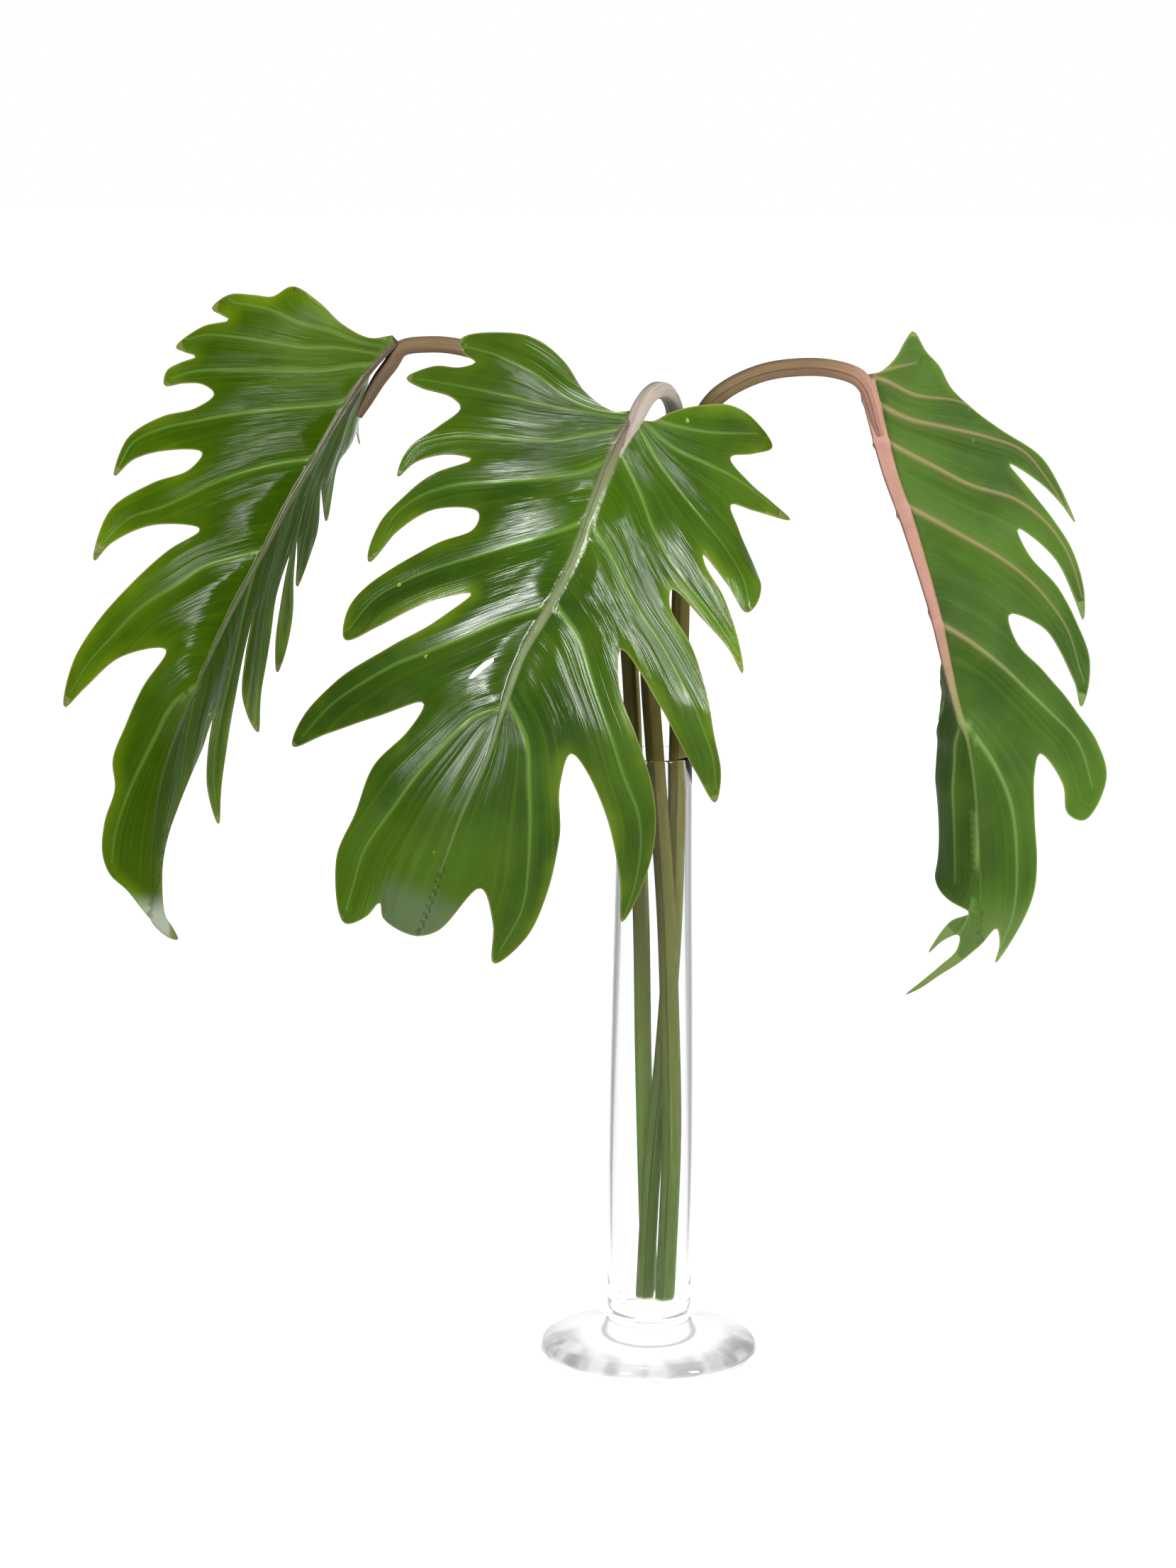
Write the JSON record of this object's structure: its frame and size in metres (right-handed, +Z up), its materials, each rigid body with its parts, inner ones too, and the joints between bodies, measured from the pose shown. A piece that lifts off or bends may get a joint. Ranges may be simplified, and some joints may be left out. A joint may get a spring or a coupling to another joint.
{
  "type": "philodendron leaf bundle in a glass vase",
  "caption": "Bundle of cut philodendron leaves with deeply lobed drooping blades on long stalks, standing in a tall slim clear glass vase with a round foot.",
  "frame": {"origin": "middle of the vase foot's flat underside", "axes": "+Z up along the vase's axis, -Y towards the side of the arrangement that shows in front, +X to the right seen from the front"},
  "size_m": [0.5098, 0.2369, 0.5282],
  "materials": {
    "clear_glass": "clear, polished",
    "glossy_leaf": "glossy, waxy leaf top",
    "leaf_underside": "matte leaf underside",
    "stalk_skin": "satin"
  },
  "bodies": {
    "root": {"vase": "clear_glass", "centre_leaf": "glossy_leaf", "left_leaf": "glossy_leaf", "right_leaf": "leaf_underside", "left_stalk": "stalk_skin", "centre_stalk": "stalk_skin", "right_stalk": "stalk_skin"}
  },
  "joints": []
}
